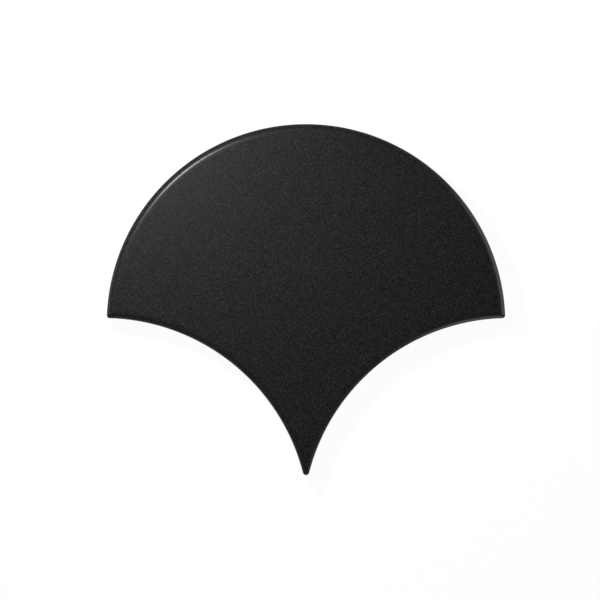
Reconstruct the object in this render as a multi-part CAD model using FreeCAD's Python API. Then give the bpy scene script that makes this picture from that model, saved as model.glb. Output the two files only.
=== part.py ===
"""Pressed and glazed ceramic wall tile in the fish-scale shape, on its back with its face up.

The outline is that of a round scale: a round head, and below it two hollows that fit the heads
of the two tiles in the next row down, leaving a point between them. One section runs round the
whole outline: a face that falls away in a slow crown and a quicker roll, a rounded arris, a
drafted flank and a broken back edge. The back is pressed with a grid of ribs for the adhesive to
key to.

Millimetres. +Z is up, out of the glazed face, and -Y runs down to the point. The origin is the
centre of the round head, on the plane of the back.
"""

import FreeCAD
import Part
import math
import os
from collections import namedtuple

# The outline, seen from the front
head_radius = 60.0  # the round head, half the tile's nominal width of 120
grout_joint = 2.0  # the gap that laid tiles keep all round
row_rise = 60.4  # from the centres of one row of heads to those of the next
point_radius = 1.0  # the blunt end of the point
shoulder_radius = 0.9  # the corners where the head meets the hollows

# The section at the edge
thickness = 8.5
crown_width = 2.75  # how far in from the outline the face starts to fall away
crown_radius = 12.0
crown_slope = math.radians(4.0)  # how steep the crown gets before it rolls over more tightly
arris_radius = 0.9
arris_slope = math.radians(50.0)  # how steep the roll gets before the arris
flank_draft = math.radians(2.0)  # the flank leans in towards the back
back_edge_break = 0.4  # chamfer round the back

# The ribbed back
back_rim = 5.0  # plain border between the outline and the recesses
rib_pitch = 12.0
rib_width = 2.4  # across the top of a rib, which is in the plane of the back
recess_depth = 0.8
recess_corner_radius = 1.5
recess_draft = math.radians(30.0)  # how far the walls of a recess lean from upright

Vector = FreeCAD.Vector
UP = Vector(0, 0, 1)
HEAD = Vector(0, 0, 0)
overrun = thickness  # cutting shapes reach this far past what they cut

# One arc of the outline. holds_tile says that the tile lies inside the arc's circle.
Bend = namedtuple("Bend", "centre radius holds_tile start end")


def hollow_circles():
    """The centres of the two hollows, right and left, and their radius."""
    half_pitch = head_radius + grout_joint / 2
    centres = [Vector(side * half_pitch, -row_rise, 0) for side in (1, -1)]
    return centres, head_radius + grout_joint


def crossing(near, near_radius, far, far_radius):
    """Where two circles cross, on the left of the way from near to far."""
    gap = far - near
    along = (near_radius**2 - far_radius**2 + gap.Length**2) / (2 * gap.Length)
    across = math.sqrt(near_radius**2 - along**2)
    unit = gap / gap.Length
    return near + unit * along + UP.cross(unit) * across


def mirrored(point):
    return Vector(-point.x, point.y, point.z)


def outline(offset=0.0):
    """The arcs round the tile, anticlockwise from the right shoulder, moved outwards by offset."""
    (hollow, left_hollow), hollow_radius = hollow_circles()
    shoulder = crossing(
        HEAD, head_radius - shoulder_radius, hollow, hollow_radius + shoulder_radius
    )
    point_reach = hollow_radius + point_radius
    point = crossing(left_hollow, point_reach, hollow, point_reach)

    def towards(centre, other, radius):
        return centre + (other - centre).normalize() * radius

    head_end = towards(HEAD, shoulder, head_radius + offset)
    hollow_top = towards(hollow, shoulder, hollow_radius - offset)
    hollow_foot = towards(hollow, point, hollow_radius - offset)
    left_end, left_top, left_foot = (mirrored(p) for p in (head_end, hollow_top, hollow_foot))
    return [
        Bend(HEAD, head_radius + offset, True, head_end, left_end),
        Bend(mirrored(shoulder), shoulder_radius + offset, True, left_end, left_top),
        Bend(left_hollow, hollow_radius - offset, False, left_top, left_foot),
        Bend(point, point_radius + offset, True, left_foot, hollow_foot),
        Bend(hollow, hollow_radius - offset, False, hollow_foot, hollow_top),
        Bend(shoulder, shoulder_radius + offset, True, hollow_top, head_end),
    ]


def start_angle(bend):
    spoke = bend.start - bend.centre
    return math.atan2(spoke.y, spoke.x)


def swept_angle(bend):
    """How far the bend turns, which is clockwise, and so negative, round a hollow's centre."""
    spoke = bend.end - bend.centre
    turn = math.atan2(spoke.y, spoke.x) - start_angle(bend)
    full = 2 * math.pi
    return turn % full if bend.holds_tile else -(-turn % full)


def middle_of(bend):
    angle = start_angle(bend) + swept_angle(bend) / 2
    return bend.centre + Vector(math.cos(angle), math.sin(angle), 0) * bend.radius


def blank():
    """A plain slab that reaches past the outline all round, for the edge to be cut from."""
    edges = [Part.Arc(b.start, middle_of(b), b.end).toShape() for b in outline(overrun)]
    return Part.Face(Part.Wire(edges)).extrude(UP * thickness)


def edge_waste():
    """The section of what is cut off outside the edge, in the XZ plane. X is how far in from the
    outline, and Z is the height."""

    def on_arc(centre, radius, slope):
        return centre + Vector(-math.sin(slope), 0, math.cos(slope)) * radius

    def arc(centre, radius, slope, end_slope):
        slopes = (slope, (slope + end_slope) / 2, end_slope)
        return Part.Arc(*(on_arc(centre, radius, s) for s in slopes)).toShape()

    # The crown leaves the face level, the arris's side is on the outline, and the roll takes the
    # radius that joins them
    flank_slope = math.pi / 2 + flank_draft
    crown_run = crown_radius * math.sin(crown_slope)
    arris_run = arris_radius * (1 - math.sin(arris_slope))
    roll_run = crown_width - crown_run - arris_run
    roll_radius = roll_run / (math.sin(arris_slope) - math.sin(crown_slope))
    crown_centre = Vector(crown_width, 0, thickness - crown_radius)
    roll_centre = on_arc(crown_centre, crown_radius - roll_radius, crown_slope)
    arris_centre = on_arc(roll_centre, roll_radius - arris_radius, arris_slope)
    arcs = [
        arc(crown_centre, crown_radius, 0, crown_slope),
        arc(roll_centre, roll_radius, crown_slope, arris_slope),
        arc(arris_centre, arris_radius, arris_slope, flank_slope),
    ]

    crown_top = on_arc(crown_centre, crown_radius, 0)
    flank_top = on_arc(arris_centre, arris_radius, flank_slope)
    lean = (flank_top.z - back_edge_break) * math.tan(flank_draft)
    flank_foot = Vector(flank_top.x + lean, 0, back_edge_break)
    back_edge = Vector(flank_foot.x + back_edge_break, 0, 0)
    outer = -2 * overrun
    rest = Part.makePolygon(
        [
            flank_top,
            flank_foot,
            back_edge,
            Vector(back_edge.x, 0, -overrun),
            Vector(outer, 0, -overrun),
            Vector(outer, 0, thickness + overrun),
            Vector(crown_width, 0, thickness + overrun),
            crown_top,
        ]
    )
    return Part.Face(Part.Wire(arcs + rest.Edges))


def edge_cutter(waste, bend):
    """The waste section swept along one bend. Round a bend tighter than the section is wide, the
    section stops at the bend's own centre, where the edge's two sides meet in a ridge."""
    if bend.holds_tile:
        section = waste.mirror(Vector(0, 0, 0), Vector(1, 0, 0))
    else:
        section = waste.copy()
    section.translate(Vector(bend.radius, 0, 0))
    if bend.holds_tile and bend.radius < crown_width:
        corner = Vector(0, -overrun, -2 * overrun)
        outward_of_centre = Part.makeBox(
            bend.radius + 3 * overrun, 2 * overrun, thickness + 4 * overrun, corner
        )
        section = section.common(outward_of_centre).Faces[0]
    section.rotate(HEAD, UP, math.degrees(start_angle(bend)))
    section.translate(bend.centre)
    return section.revolve(bend.centre, UP, math.degrees(swept_angle(bend)))


def recess_area():
    """What the rim leaves for the recesses: the outline without its rounded corners, a rim's width
    in. Its wall leans in as it rises into the tile."""
    lean = math.tan(recess_draft)
    base = UP * -overrun
    height = overrun + recess_depth
    radius = head_radius - back_rim
    area = Part.makeCone(radius + overrun * lean, radius - recess_depth * lean, height, base)
    hollows, hollow_radius = hollow_circles()
    radius = hollow_radius + back_rim
    for hollow in hollows:
        wide, narrow = radius + recess_depth * lean, radius - overrun * lean
        area = area.cut(Part.makeCone(narrow, wide, height, hollow + base))
    return area


def whole_recess():
    """A square recess, centred, as the ribs leave it: narrower at its floor than at its mouth, with
    round corners."""
    mouth = (rib_pitch - rib_width) / 2
    lean = math.tan(recess_draft)
    wide, floor = mouth + overrun * lean, mouth - recess_depth * lean
    recess = Part.makeWedge(
        -wide, -overrun, -wide, -floor, -floor, wide, recess_depth, wide, floor, floor
    )
    recess.rotate(HEAD, Vector(1, 0, 0), 90)
    rising = [edge for edge in recess.Edges if edge.BoundBox.ZLength > recess_depth]
    return recess.makeFillet(recess_corner_radius, rising)


def recesses():
    """What is pressed out of the back. The ribs cross under the centre of the head, and a recess
    whose own centre would lie in the rim is left out."""
    hollows, hollow_radius = hollow_circles()
    area = recess_area()
    whole = whole_recess()
    count = math.ceil(head_radius / rib_pitch)
    middles = [(i + 0.5) * rib_pitch for i in range(-count, count)]
    centres = [Vector(x, y, 0) for x in middles for y in middles]
    return [
        whole.translated(centre).common(area)
        for centre in centres
        if centre.Length < head_radius - back_rim
        and all((centre - hollow).Length > hollow_radius + back_rim for hollow in hollows)
    ]


def fish_scale_tile():
    waste = edge_waste()
    edge = [edge_cutter(waste, bend) for bend in outline()]
    return blank().cut(edge + recesses()).Solids[0]


tile = fish_scale_tile()
box = tile.optimalBoundingBox(False, False)
print(f"tile: valid {tile.isValid()}, {tile.Volume / 1000:.2f} cm3")
print(f"size: {box.XLength:.2f} x {box.YLength:.2f} x {box.ZLength:.2f} mm")

os.makedirs("parts", exist_ok=True)
tile.exportStep("parts/fish_scale_tile.step")
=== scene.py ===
"""A fish-scale wall tile, pressed from clay, glazed satin black and fired once, on its back with its
face up. Metres, in the tile's own frame: +Z out of the face, -Y down to the point."""

import math

import bpy
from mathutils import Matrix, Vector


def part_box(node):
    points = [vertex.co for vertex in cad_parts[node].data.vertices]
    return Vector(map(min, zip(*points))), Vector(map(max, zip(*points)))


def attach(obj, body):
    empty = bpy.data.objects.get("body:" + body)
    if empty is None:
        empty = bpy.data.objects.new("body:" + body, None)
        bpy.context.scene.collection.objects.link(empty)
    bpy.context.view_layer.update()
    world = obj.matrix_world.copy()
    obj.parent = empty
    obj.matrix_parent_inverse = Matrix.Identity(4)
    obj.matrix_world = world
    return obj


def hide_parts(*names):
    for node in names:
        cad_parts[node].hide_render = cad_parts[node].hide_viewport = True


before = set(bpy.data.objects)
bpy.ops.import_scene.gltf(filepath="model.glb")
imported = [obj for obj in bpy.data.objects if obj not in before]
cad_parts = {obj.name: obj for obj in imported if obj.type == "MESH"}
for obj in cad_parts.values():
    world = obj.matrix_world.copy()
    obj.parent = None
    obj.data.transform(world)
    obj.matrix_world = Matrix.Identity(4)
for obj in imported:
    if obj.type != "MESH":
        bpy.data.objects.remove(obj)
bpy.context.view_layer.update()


# The pressed body
# The tile is one piece of clay, pressed dry in a steel die. The punch gives it the flat face, the
# crown that falls away to the edge and the arris, and the wall of the die gives it the flank. Its
# outline is all arcs: the head, and two hollows that fit the heads of the next row down.

MM = 0.001
low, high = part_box("fish_scale_tile")

outline_sizes = {
    "Head radius": high[1],
    "Half pitch": high[1] + 1.0 * MM,  # from the middle line to the centre of a hollow
    "Row rise": 60.4 * MM,
    "Hollow radius": high[1] + 2.0 * MM,
    "Shoulder radius": 0.9 * MM,
    "Point radius": 1.0 * MM,
    "Ridge radius": 0.45 * MM,  # glaze fills the ridges at the point and shoulders to this
}
section_sizes = {
    "Thickness": high[2],
    "Crown width": 2.75 * MM,  # how far in from the outline the face starts to fall away
    "Crown radius": 12.0 * MM,
    "Crown slope": math.radians(4.0),  # where the crown rolls over more tightly
    "Arris radius": 0.9 * MM,
    "Arris slope": math.radians(50.0),  # where the roll turns down into the arris
    "Flank draft": math.radians(2.0),
    "Back edge break": 0.4 * MM,
    "Hub": 18.0 * MM,  # the rings of the face close in on this height of the middle line
}


class Wire:
    """One output of a node tree. Arithmetic on it adds the tree's Math nodes, and node() adds any
    other node: first its settings, then the values or wires of its sockets, by name or place."""

    def __init__(self, tree, socket=None):
        self.tree = tree
        self.socket = socket

    def node(self, kind, settings=None, sockets=None, output=0):
        made = self.tree.nodes.new(kind)
        for name, setting in (settings or {}).items():
            setattr(made, name, setting)
        shown = {s.name: s for s in reversed(made.inputs) if s.enabled}
        for name, value in (sockets or {}).items():
            socket = made.inputs[name] if isinstance(name, int) else shown[name]
            if isinstance(value, Wire):
                self.tree.links.new(value.socket, socket)
            elif socket.is_multi_input:
                for wire in value:
                    self.tree.links.new(wire.socket, socket)
            else:
                socket.default_value = value
        outputs = [s for s in made.outputs if s.enabled]
        named = {s.name: s for s in reversed(outputs)}
        return Wire(self.tree, named[output] if isinstance(output, str) else outputs[output])

    def other(self, output):
        """Another output of the same node."""
        return Wire(self.tree, self.socket.node.outputs[output])

    def into_last(self, kind, name):
        """Leads this wire into the node that ends the tree."""
        self.tree.links.new(self.socket, self.tree.nodes.new(kind).inputs[name])

    def clamped(self):
        return self.node("ShaderNodeClamp", {}, {"Value": self})

    def eased(self, start, end):
        """0 at start and 1 at end, with a smooth rise between them."""
        return self.node(
            "ShaderNodeMapRange",
            {"interpolation_type": "SMOOTHSTEP"},
            {"Value": self, "From Min": start, "From Max": end},
        )

    def __add__(self, other):
        return maths("ADD", self, other)

    def __radd__(self, other):
        return maths("ADD", other, self)

    def __sub__(self, other):
        return maths("SUBTRACT", self, other)

    def __rsub__(self, other):
        return maths("SUBTRACT", other, self)

    def __mul__(self, other):
        return maths("MULTIPLY", self, other)

    def __rmul__(self, other):
        return maths("MULTIPLY", other, self)

    def __truediv__(self, other):
        return maths("DIVIDE", self, other)

    def __rtruediv__(self, other):
        return maths("DIVIDE", other, self)

    def __lt__(self, other):
        return maths("LESS_THAN", self, other)

    def __gt__(self, other):
        return maths("GREATER_THAN", self, other)


def maths(operation, *values):
    """A Math node on wires and numbers, at least one of them a wire."""
    wire = next(value for value in values if isinstance(value, Wire))
    return wire.node("ShaderNodeMath", {"operation": operation}, dict(enumerate(values)))


def sine(angle):
    return maths("SINE", angle) if isinstance(angle, Wire) else math.sin(angle)


def cosine(angle):
    return maths("COSINE", angle) if isinstance(angle, Wire) else math.cos(angle)


def length(x, y):
    return maths("SQRT", x * x + y * y)


def point_at(x, y, z):
    return z.node("ShaderNodeCombineXYZ", {}, {"X": x, "Y": y, "Z": z})


tree = bpy.data.node_groups.new("fish scale tile", "GeometryNodeTree")
tree.interface.new_socket("Mesh", in_out="OUTPUT", socket_type="NodeSocketGeometry")
sheet = Wire(tree)  # starts the nodes that no wire leads into
size = {}
size_of_input = {}


def take_sizes(sizes):
    """Gives the tree a named input for each of the sizes."""
    for name, value in sizes.items():
        made = tree.interface.new_socket(name, in_out="INPUT", socket_type="NodeSocketFloat")
        size_of_input[made.identifier] = value
    entry = tree.nodes.new("NodeGroupInput")
    size.update((name, Wire(tree, entry.outputs[name])) for name in sizes)


def welded(mesh):
    """Closes the seams and poles of a mesh, and takes out its slivers."""
    return mesh.node("GeometryNodeMergeByDistance", {}, {"Geometry": mesh, "Distance": 0.002 * MM})


def skin(columns, rings, point_of):
    """A closed skin. Its columns run round it, its rings from one pole to the other, and point_of
    says where the point at a column and ring goes."""
    index = sheet.node("GeometryNodeInputIndex")
    column = maths("FLOOR", index / rings)
    point = point_of(column, index - column * rings)
    grid = sheet.node("GeometryNodeMeshGrid", {}, {"Vertices X": columns, "Vertices Y": rings})
    put = grid.node("GeometryNodeSetPosition", {}, {"Geometry": grid, "Position": point})
    return welded(put)


# How many steps each arc of half the outline is drawn in: head, shoulder, hollow and point
arc_steps = (130, 14, 110, 14)
half_round = sum(arc_steps)


def outline_at(step, depth):
    """x and y of the outline, moved in by depth, at a step from the top of the head. Negative
    steps run down the left side."""

    def rounded(radius):
        least = size["Ridge radius"]
        return maths("SMOOTH_MAX", radius - depth, least, least)

    head = size["Head radius"] - depth
    hollow = size["Hollow radius"] + depth
    shoulder = rounded(size["Shoulder radius"])
    point = rounded(size["Point radius"])
    across, down = size["Half pitch"], size["Row rise"]

    # The shoulder's centre is where a circle round the head's centre crosses one round a hollow's
    near, far = head - shoulder, hollow + shoulder
    gap = length(across, down)
    along = (near * near - far * far + gap * gap) / (2 * gap)
    aside = maths("SQRT", near * near - along * along)
    shoulder_x = (across * along + down * aside) / gap
    shoulder_y = (across * aside - down * along) / gap
    point_rise = maths("SQRT", (hollow + point) * (hollow + point) - across * across)

    head_end = maths("ARCTAN2", shoulder_y, shoulder_x)
    hollow_top = maths("ARCTAN2", shoulder_y + down, shoulder_x - across)
    hollow_foot = maths("ARCTAN2", point_rise, 0 - across)
    arcs = [
        (head, math.pi / 2, head_end),
        (shoulder, head_end, hollow_top - math.pi),
        (hollow, hollow_top, hollow_foot),
        (point, hollow_foot - math.pi, -math.pi / 2),
    ]
    x, y, first = 0, head, 0
    for (radius, start, end), steps in zip(arcs, arc_steps):
        gone = ((maths("ABSOLUTE", step) - first) / steps).clamped()
        angle = start + (end - start) * gone
        x = x + radius * (cosine(angle) - cosine(start))
        y = y + radius * (sine(angle) - sine(start))
        first += steps
    return x * maths("SIGN", step), y


# The glaze runs over the arris and stops on the flank in a rolled lip, a little unevenly
lip_sizes = {
    "Glaze line": 2.9 * MM,  # height of the lip above the back
    "Glaze line wander": 0.8 * MM,
    "Glaze thickness": 0.12 * MM,
    "Lip width": 0.35 * MM,
    "Bead width": 0.9 * MM,
    "Bead swell": 0.06 * MM,
    "Face swell": 0.03 * MM,  # how far the glaze on the face rises and falls
}

# Rings of each band, from the middle of the face outwards, down and in over the back
body_bands = dict(
    face=24, crown=5, roll=10, arris=10, glazed=8, bead=8, lip=6, bare=8, edge_break=1, back=1
)


def shares_done(bands, ring):
    """How much of each band lies behind a ring, from 0 to 1."""
    shares, first = {}, 0
    for band, rings in bands.items():
        shares[band] = ((ring - first) / rings).clamped()
        first += rings
    return shares


def body_point(column, ring):
    """Goes from the middle of the face over the section's arcs and down the flank, and closes
    under the back."""
    shares = shares_done(body_bands, ring)
    crown, arris = size["Crown radius"], size["Arris radius"]
    crown_end, roll_end = size["Crown slope"], size["Arris slope"]
    roll_run = size["Crown width"] - crown * sine(crown_end) - arris * (1 - sine(roll_end))
    roll = roll_run / (sine(roll_end) - sine(crown_end))
    flank_slope = math.pi / 2 + size["Flank draft"]
    depth, fall = size["Crown width"], 0
    for band, radius, start, end in (
        ("crown", crown, 0, crown_end),
        ("roll", roll, crown_end, roll_end),
        ("arris", arris, roll_end, flank_slope),
    ):
        slope = start + (end - start) * shares[band]
        depth = depth - radius * (sine(slope) - sine(start))
        fall = fall + radius * (cosine(start) - cosine(slope))

    flank_top = size["Thickness"] - crown * (1 - cosine(crown_end))
    flank_top = flank_top - roll * (cosine(crown_end) - cosine(roll_end))
    flank_top = flank_top - arris * (cosine(roll_end) - cosine(flank_slope))
    edge_break, lip = size["Back edge break"], size["Lip width"]
    to_bead = flank_top - size["Glaze line"] - size["Bead width"]
    to_foot = size["Glaze line"] - lip - edge_break
    down = to_bead * shares["glazed"] + size["Bead width"] * shares["bead"]
    down = down + lip * shares["lip"] + to_foot * shares["bare"]
    draft = sine(size["Flank draft"]) / cosine(size["Flank draft"])
    swell = size["Bead swell"] * sine(math.pi * shares["bead"])
    step_in = size["Glaze thickness"] * (1 - cosine(math.pi * shares["lip"])) / 2
    depth = depth + down * draft - swell + step_in + edge_break * shares["edge_break"]
    height = size["Thickness"] - fall - down - edge_break * shares["edge_break"]

    x, y = outline_at(column - half_round, depth)
    spread = shares["face"] * (1 - shares["back"])
    return point_at(x * spread, size["Hub"] + (y - size["Hub"]) * spread, height)


def noise(where, feature, detail, offset):
    """Noise from 0 to 1 whose blotches are about as wide as feature. Another offset gives
    another pattern."""
    moved = where.node(
        "ShaderNodeVectorMath", {"operation": "ADD"}, {0: where, 1: (offset, offset, offset)}
    )
    sockets = {"Vector": moved, "Scale": 1 / feature, "Detail": detail}
    return where.node("ShaderNodeTexNoise", {"noise_dimensions": "3D"}, sockets)


take_sizes(outline_sizes | section_sizes | lip_sizes)
body = skin(2 * half_round + 1, sum(body_bands.values()) + 1, body_point)

position = sheet.node("GeometryNodeInputPosition")
axes = sheet.node("ShaderNodeSeparateXYZ", {}, {"Vector": position})
height = axes.other("Z")
line = size["Glaze line"]
body = body.node(
    "GeometryNodeStoreNamedAttribute",
    {"data_type": "FLOAT", "domain": "POINT"},
    {"Geometry": body, "Name": "above_glaze_line", "Value": height - line},
)

# The lip wanders up and down, and less and less of this reaches the back and the foot of the
# arris. The swell of the face dies out on the roll
wander_top = 6.6 * MM
swell_start, swell_full = 7.3 * MM, 8.1 * MM
wander = size["Glaze line wander"] * (2 * noise(position, 22 * MM, 2.0, 3.0) - 1)
wander = wander * (height / line).clamped()
wander = wander * ((wander_top - height) / (wander_top - line)).clamped()
swell = size["Face swell"] * noise(position, 14 * MM, 1.5, 7.0)
swell = swell * height.eased(swell_start, swell_full)
body = body.node(
    "GeometryNodeSetPosition", {}, {"Geometry": body, "Offset": point_at(0, 0, wander - swell)}
)


# The ribbed back
# The lower die presses square recesses into the back and leaves ribs between them, for the
# adhesive to grip. A plain rim runs round the edge. Every wall leans so that the tile lifts off.

back_sizes = {
    "Back rim": 5.0 * MM,
    "Rib pitch": 12.0 * MM,
    "Rib width": 2.4 * MM,
    "Recess depth": 0.8 * MM,
    "Recess corner": 1.5 * MM,
    "Recess draft": math.radians(30.0),
    "Recess mouth radius": 0.3 * MM,
    "Recess floor radius": 0.3 * MM,
}
lead_in = 0.2 * MM  # a wall starts this far below the back, to cut it cleanly
mouth_lean = math.radians(70)  # and leans this far from upright up to the back
corner_steps = 5
wall_bands = dict(underside=1, lead_in=1, mouth=4, wall=2, floor_edge=5, floor=1)


def recess_wall(ring, extra_depth):
    """How far in from the mouth the wall of a recess is at a ring, its height, and how far the
    ring is spread out from its pole."""
    shares = shares_done(wall_bands, ring)
    draft = size["Recess draft"]
    mouth, corner = size["Recess mouth radius"], size["Recess floor radius"]
    mouth_rise = mouth * (math.sin(mouth_lean) - sine(draft))
    mouth_run = mouth * (cosine(draft) - math.cos(mouth_lean))
    wall_rise = size["Recess depth"] + extra_depth - mouth_rise - corner * (1 - sine(draft))
    slope = sine(draft) / cosine(draft)
    on_mouth = mouth_lean + (draft - mouth_lean) * shares["mouth"]
    on_corner = draft + (math.pi / 2 - draft) * shares["floor_edge"]
    rise = lead_in * (shares["lead_in"] - 1) + wall_rise * shares["wall"]
    rise = rise + mouth * (math.sin(mouth_lean) - sine(on_mouth))
    rise = rise + corner * (sine(on_corner) - sine(draft))
    run = lead_in * math.tan(mouth_lean) * (shares["lead_in"] - 1)
    run = run + mouth_rise * slope - mouth_run + wall_rise * slope * shares["wall"]
    run = run + mouth * (cosine(on_mouth) - math.cos(mouth_lean))
    run = run + corner * (cosine(draft) - cosine(on_corner))
    return run, rise, shares["underside"] * (1 - shares["floor"])


def recess_point(column, ring):
    """On a square recess with round corners, round which the columns run."""
    run, rise, spread = recess_wall(ring, 0)
    half = (size["Rib pitch"] - size["Rib width"]) / 2 - run
    corner = maths("FLOOR", column / (corner_steps + 1))
    turned = (column - corner * (corner_steps + 1)) / corner_steps
    angle = (corner + turned) * (math.pi / 2)
    diagonal = (corner + 0.5) * (math.pi / 2)
    flat = (half - size["Recess corner"]) * math.sqrt(2)
    x = flat * cosine(diagonal) + size["Recess corner"] * cosine(angle)
    y = flat * sine(diagonal) + size["Recess corner"] * sine(angle)
    return point_at(x * spread, y * spread, rise)


def area_point(column, ring):
    """On the outline of all the recesses, which the rim leaves. It reaches a hair past their
    floors, so that no two faces lie in one plane. Its rings rise, where those of the body go down,
    so its columns run the other way round, and both skins face outwards."""
    run, rise, spread = recess_wall(ring, 0.004 * MM)
    x, y = outline_at(half_round - column, size["Back rim"] + run)
    return point_at(x * spread, size["Hub"] + (y - size["Hub"]) * spread, rise)


take_sizes(back_sizes)
wall_rings = sum(wall_bands.values()) + 1
recess = skin(4 * (corner_steps + 1) + 1, wall_rings, recess_point)
area = skin(2 * half_round + 1, wall_rings, area_point)

# One recess between each four crossings of the ribs, where its centre is clear of the rim
cells = 2 * math.ceil(outline_sizes["Head radius"] / back_sizes["Rib pitch"])
span = size["Rib pitch"] * (cells - 1)
grid = sheet.node(
    "GeometryNodeMeshGrid",
    {},
    {"Size X": span, "Size Y": span, "Vertices X": cells, "Vertices Y": cells},
)
x, y = axes.other("X"), axes.other("Y")
rim = size["Back rim"]
beside = maths("ABSOLUTE", x) - size["Half pitch"]
in_head = length(x, y) < size["Head radius"] - rim
off_hollows = length(beside, y + size["Row rise"]) > size["Hollow radius"] + rim
laid = grid.node(
    "GeometryNodeInstanceOnPoints",
    {},
    {"Points": grid, "Selection": in_head * off_hollows, "Instance": recess},
)
laid = laid.node("GeometryNodeRealizeInstances", {}, {"Geometry": laid})
recesses = laid.node(
    "GeometryNodeMeshBoolean",
    {"operation": "INTERSECT", "solver": "MANIFOLD"},
    {1: [laid, area]},
)
pressed = body.node(
    "GeometryNodeMeshBoolean",
    {"operation": "DIFFERENCE", "solver": "MANIFOLD"},
    {0: body, 1: [recesses]},
)
pressed = welded(pressed)

# The walls and floors of the recesses are bare clay, as everything this low is
bare_height, bare_mark = 1.5 * MM, -1.0 * MM
pressed = pressed.node(
    "GeometryNodeStoreNamedAttribute",
    {"data_type": "FLOAT", "domain": "POINT"},
    {
        "Geometry": pressed,
        "Selection": height < bare_height,
        "Name": "above_glaze_line",
        "Value": bare_mark,
    },
)

# Smooth all over, but for edges that turn by more than this
sharp_turn = math.radians(18)
smooth = pressed.node("GeometryNodeSetShadeSmooth", {"domain": "FACE"}, {"Geometry": pressed})
smooth = smooth.node(
    "GeometryNodeSetShadeSmooth",
    {"domain": "EDGE"},
    {
        "Geometry": smooth,
        "Selection": sheet.node("GeometryNodeInputMeshEdgeAngle") > sharp_turn,
        "Shade Smooth": False,
    },
)


# The glaze and the bare clay
# A satin black glaze, sprayed on and fired, is a skin of glass full of fine crystals: nearly black,
# with a soft gloss and a grain that is finer than a third of a millimetre. Where it stops, the
# fired clay shows: buff, dry and slightly open.


def bare_material(name):
    """A material without nodes, and a wire to start them from."""
    made = bpy.data.materials.new(name)
    made.use_nodes = True
    made.node_tree.nodes.clear()
    return made, Wire(made.node_tree)


def colour_between(share, first, second):
    return share.node(
        "ShaderNodeMix", {"data_type": "RGBA"}, {"Factor": share, "A": first, "B": second}
    )


glaze, paint = bare_material("black_satin_glaze")
coords = paint.node("ShaderNodeTexCoord", {}, {}, "Object")
above = paint.node("ShaderNodeAttribute", {"attribute_name": "above_glaze_line"}, {}, "Fac")
glazed = above.eased(-0.25 * MM, -0.05 * MM)

# The grain is fine crystals, with a little of wider and wider blotches of them. It is laid askew,
# so that no row of it runs along an axis
askew = coords.node(
    "ShaderNodeVectorRotate", {}, {"Vector": coords, "Axis": (0.3, 0.2, 1), "Angle": 0.6}
)
pits = noise(askew, 0.27 * MM, 1.0, 1.0)
grain = pits - 0.5
for width, share in ((0.6, 0.08), (1.2, 0.04), (2.4, 0.02)):
    grain = grain + share * (noise(askew, width * MM, 0.0, width) - 0.5)
tone = grain.eased(-0.04, 0.16)
cloud = noise(coords, 9 * MM, 3.0, 4.0)

glass = (0.0014, 0.0013, 0.0011, 1)
brownish, greyish = (0.0322, 0.0295, 0.0240, 1), (0.0296, 0.0295, 0.0270, 1)
crystals = noise(askew, 0.33 * MM, 0.0, 9.0).eased(0.3, 0.7)
black = colour_between(tone, glass, colour_between(crystals, brownish, greyish))
sand, ash = (0.47, 0.35, 0.245, 1), (0.60, 0.475, 0.35, 1)
buff = colour_between(noise(coords, 0.6 * MM, 4.0, 5.0), sand, ash)
colour = colour_between(glazed, buff, black)
clay_roughness = 0.92
glaze_roughness = 0.55 + 0.06 * tone + 0.04 * cloud
roughness = clay_roughness + (glaze_roughness - clay_roughness) * glazed
clay_relief = 0.05 * MM * noise(coords, 0.45 * MM, 4.0, 6.0)
glaze_relief = 0.018 * MM * pits + 0.01 * MM * noise(coords, 0.9 * MM, 2.0, 2.0)
relief = clay_relief + (glaze_relief - clay_relief) * glazed
bump = paint.node("ShaderNodeBump", {}, {"Strength": 1.0, "Distance": 1.0, "Height": relief})

# The crystals scatter a wide, slightly blue haze, and the coat is the skin of glass on them, which
# gives the narrower gloss
surface = paint.node(
    "ShaderNodeBsdfPrincipled",
    {},
    {
        "Base Color": colour,
        "Roughness": roughness,
        "IOR": 1.5,
        "Specular IOR Level": 0.17,
        "Specular Tint": (0.92, 1.0, 1.10, 1),
        "Coat Weight": 0.385 * glazed,
        "Coat Roughness": 0.265,
        "Normal": bump,
    },
)
surface.into_last("ShaderNodeOutputMaterial", "Surface")

glaze_input = tree.interface.new_socket("Glaze", in_out="INPUT", socket_type="NodeSocketMaterial")
given_glaze = Wire(tree, tree.nodes.new("NodeGroupInput").outputs["Glaze"])
whole = smooth.node("GeometryNodeRealizeInstances", {}, {"Geometry": smooth})
finished = whole.node(
    "GeometryNodeSetMaterial", {}, {"Geometry": whole, "Material": given_glaze}
)
finished.into_last("NodeGroupOutput", "Mesh")

tile = bpy.data.objects.new("glazed_tile", bpy.data.meshes.new("blank"))
bpy.context.scene.collection.objects.link(tile)
modifier = tile.modifiers.new("fish scale tile", "NODES")
modifier.node_group = tree
for identifier, value in size_of_input.items():
    modifier[identifier] = value
modifier[glaze_input.identifier] = glaze
evaluated = tile.evaluated_get(bpy.context.evaluated_depsgraph_get())
tile_mesh = bpy.data.meshes.new_from_object(evaluated)
tile_mesh.name = "glazed_tile"
tile.modifiers.remove(modifier)
tile.data = tile_mesh

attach(tile, "root")
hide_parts("fish_scale_tile")


# The table
# A sheet of plain white board lies under the tile, wide enough to fill the view from any side.
# Where the camera or a gloss sees it, most of it is plain white, and a tenth is its own shading
# with the tile's shadow.

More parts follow.
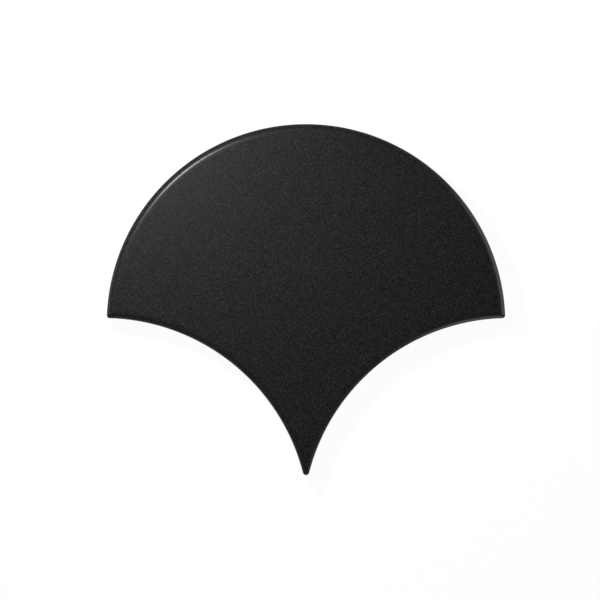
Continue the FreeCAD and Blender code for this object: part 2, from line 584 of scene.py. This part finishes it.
reach = 3.0  # from the tile to the board's sides
top = low[2] - 0.05 * MM  # just clear of the back, so that no two faces lie in one plane
corners = [(-reach, -reach, top), (reach, -reach, top), (reach, reach, top), (-reach, reach, top)]
board_mesh = bpy.data.meshes.new("board")
board_mesh.from_pydata(corners, [], [(0, 1, 2, 3)])
board = bpy.data.objects.new("board", board_mesh)
bpy.context.scene.collection.objects.link(board)
white, paint = bare_material("white_board")
ray = paint.node("ShaderNodeLightPath", {}, {}, "Is Camera Ray")
seen = (ray + ray.other("Is Glossy Ray") + ray.other("Is Transmission Ray")).clamped()
plain_share = 0.9
card = paint.node("ShaderNodeBsdfDiffuse", {}, {"Color": (0.8, 0.8, 0.8, 1)})
glow = paint.node("ShaderNodeEmission", {}, {"Color": (1, 1, 1, 1), "Strength": 1.06})
shown = paint.node("ShaderNodeMixShader", {}, {0: seen * plain_share, 1: card, 2: glow})
shown.into_last("ShaderNodeOutputMaterial", "Surface")
white.cycles.emission_sampling = "NONE"  # the glow lights nothing
board_mesh.materials.append(white)


# The light
# One small soft lamp close by at the upper left, three large dim panels that stand low to the
# right, the front and the left, and a dim room.

world = bpy.data.worlds.new("room")
world.use_nodes = True
background = world.node_tree.nodes["Background"]
background.inputs["Color"].default_value = (0.95, 0.98, 1.0, 1)
background.inputs["Strength"].default_value = 0.084
bpy.context.scene.world = world


def soft_lamp(name, turn, lean, away, tall, wide, watts, tint):
    """A soft box aimed at the tile. turn is its direction round the tile from +X, lean its angle
    from upright, and tall its size up and down."""
    data = bpy.data.lights.new(name, "AREA")
    data.shape = "RECTANGLE"
    data.size, data.size_y = tall, wide
    data.energy = watts
    data.color = tint
    lamp = bpy.data.objects.new(name, data)
    turn, lean = math.radians(turn), math.radians(lean)
    lamp.location = (
        away * math.sin(lean) * math.cos(turn),
        away * math.sin(lean) * math.sin(turn),
        away * math.cos(lean),
    )
    lamp.rotation_euler = (0, lean, turn)
    bpy.context.scene.collection.objects.link(lamp)


plain, cool = (1.0, 1.0, 1.0), (0.98, 0.99, 1.0)
soft_lamp("key", 129.8, 40.83, away=0.19, tall=0.0263, wide=0.0353, watts=0.272, tint=plain)
soft_lamp("right", 14.5, 74.1, away=0.8, tall=0.63, wide=0.64, watts=3.22, tint=cool)
soft_lamp("front", -75, 78, away=0.8, tall=0.30, wide=0.34, watts=1.12, tint=cool)
soft_lamp("left", 172, 78, away=0.8, tall=0.30, wide=0.30, watts=0.50, tint=cool)


# The camera
# It looks straight down on the tile, from a good metre up, as the photograph does. Its lens gives
# the tile the photograph's size where it is widest, at the foot of the arris.

photo_width = 600
pixels_per_metre = 3324.5
widest_height = 7.1 * MM
sensor_width = 36
centre_x, centre_y = -1.81 * MM, 7.05 * MM
camera_height = 1.1
camera_data = bpy.data.cameras.new("camera")
camera = bpy.data.objects.new("camera", camera_data)
bpy.context.scene.collection.objects.link(camera)
camera.location = (centre_x, centre_y, camera_height)
camera_data.sensor_width = sensor_width
camera_data.lens = (
    sensor_width * (camera_height - widest_height) * pixels_per_metre / photo_width
)
camera_data.clip_start, camera_data.clip_end = 0.01, 20
bpy.context.scene.camera = camera
bpy.context.scene.view_settings.view_transform = "Standard"
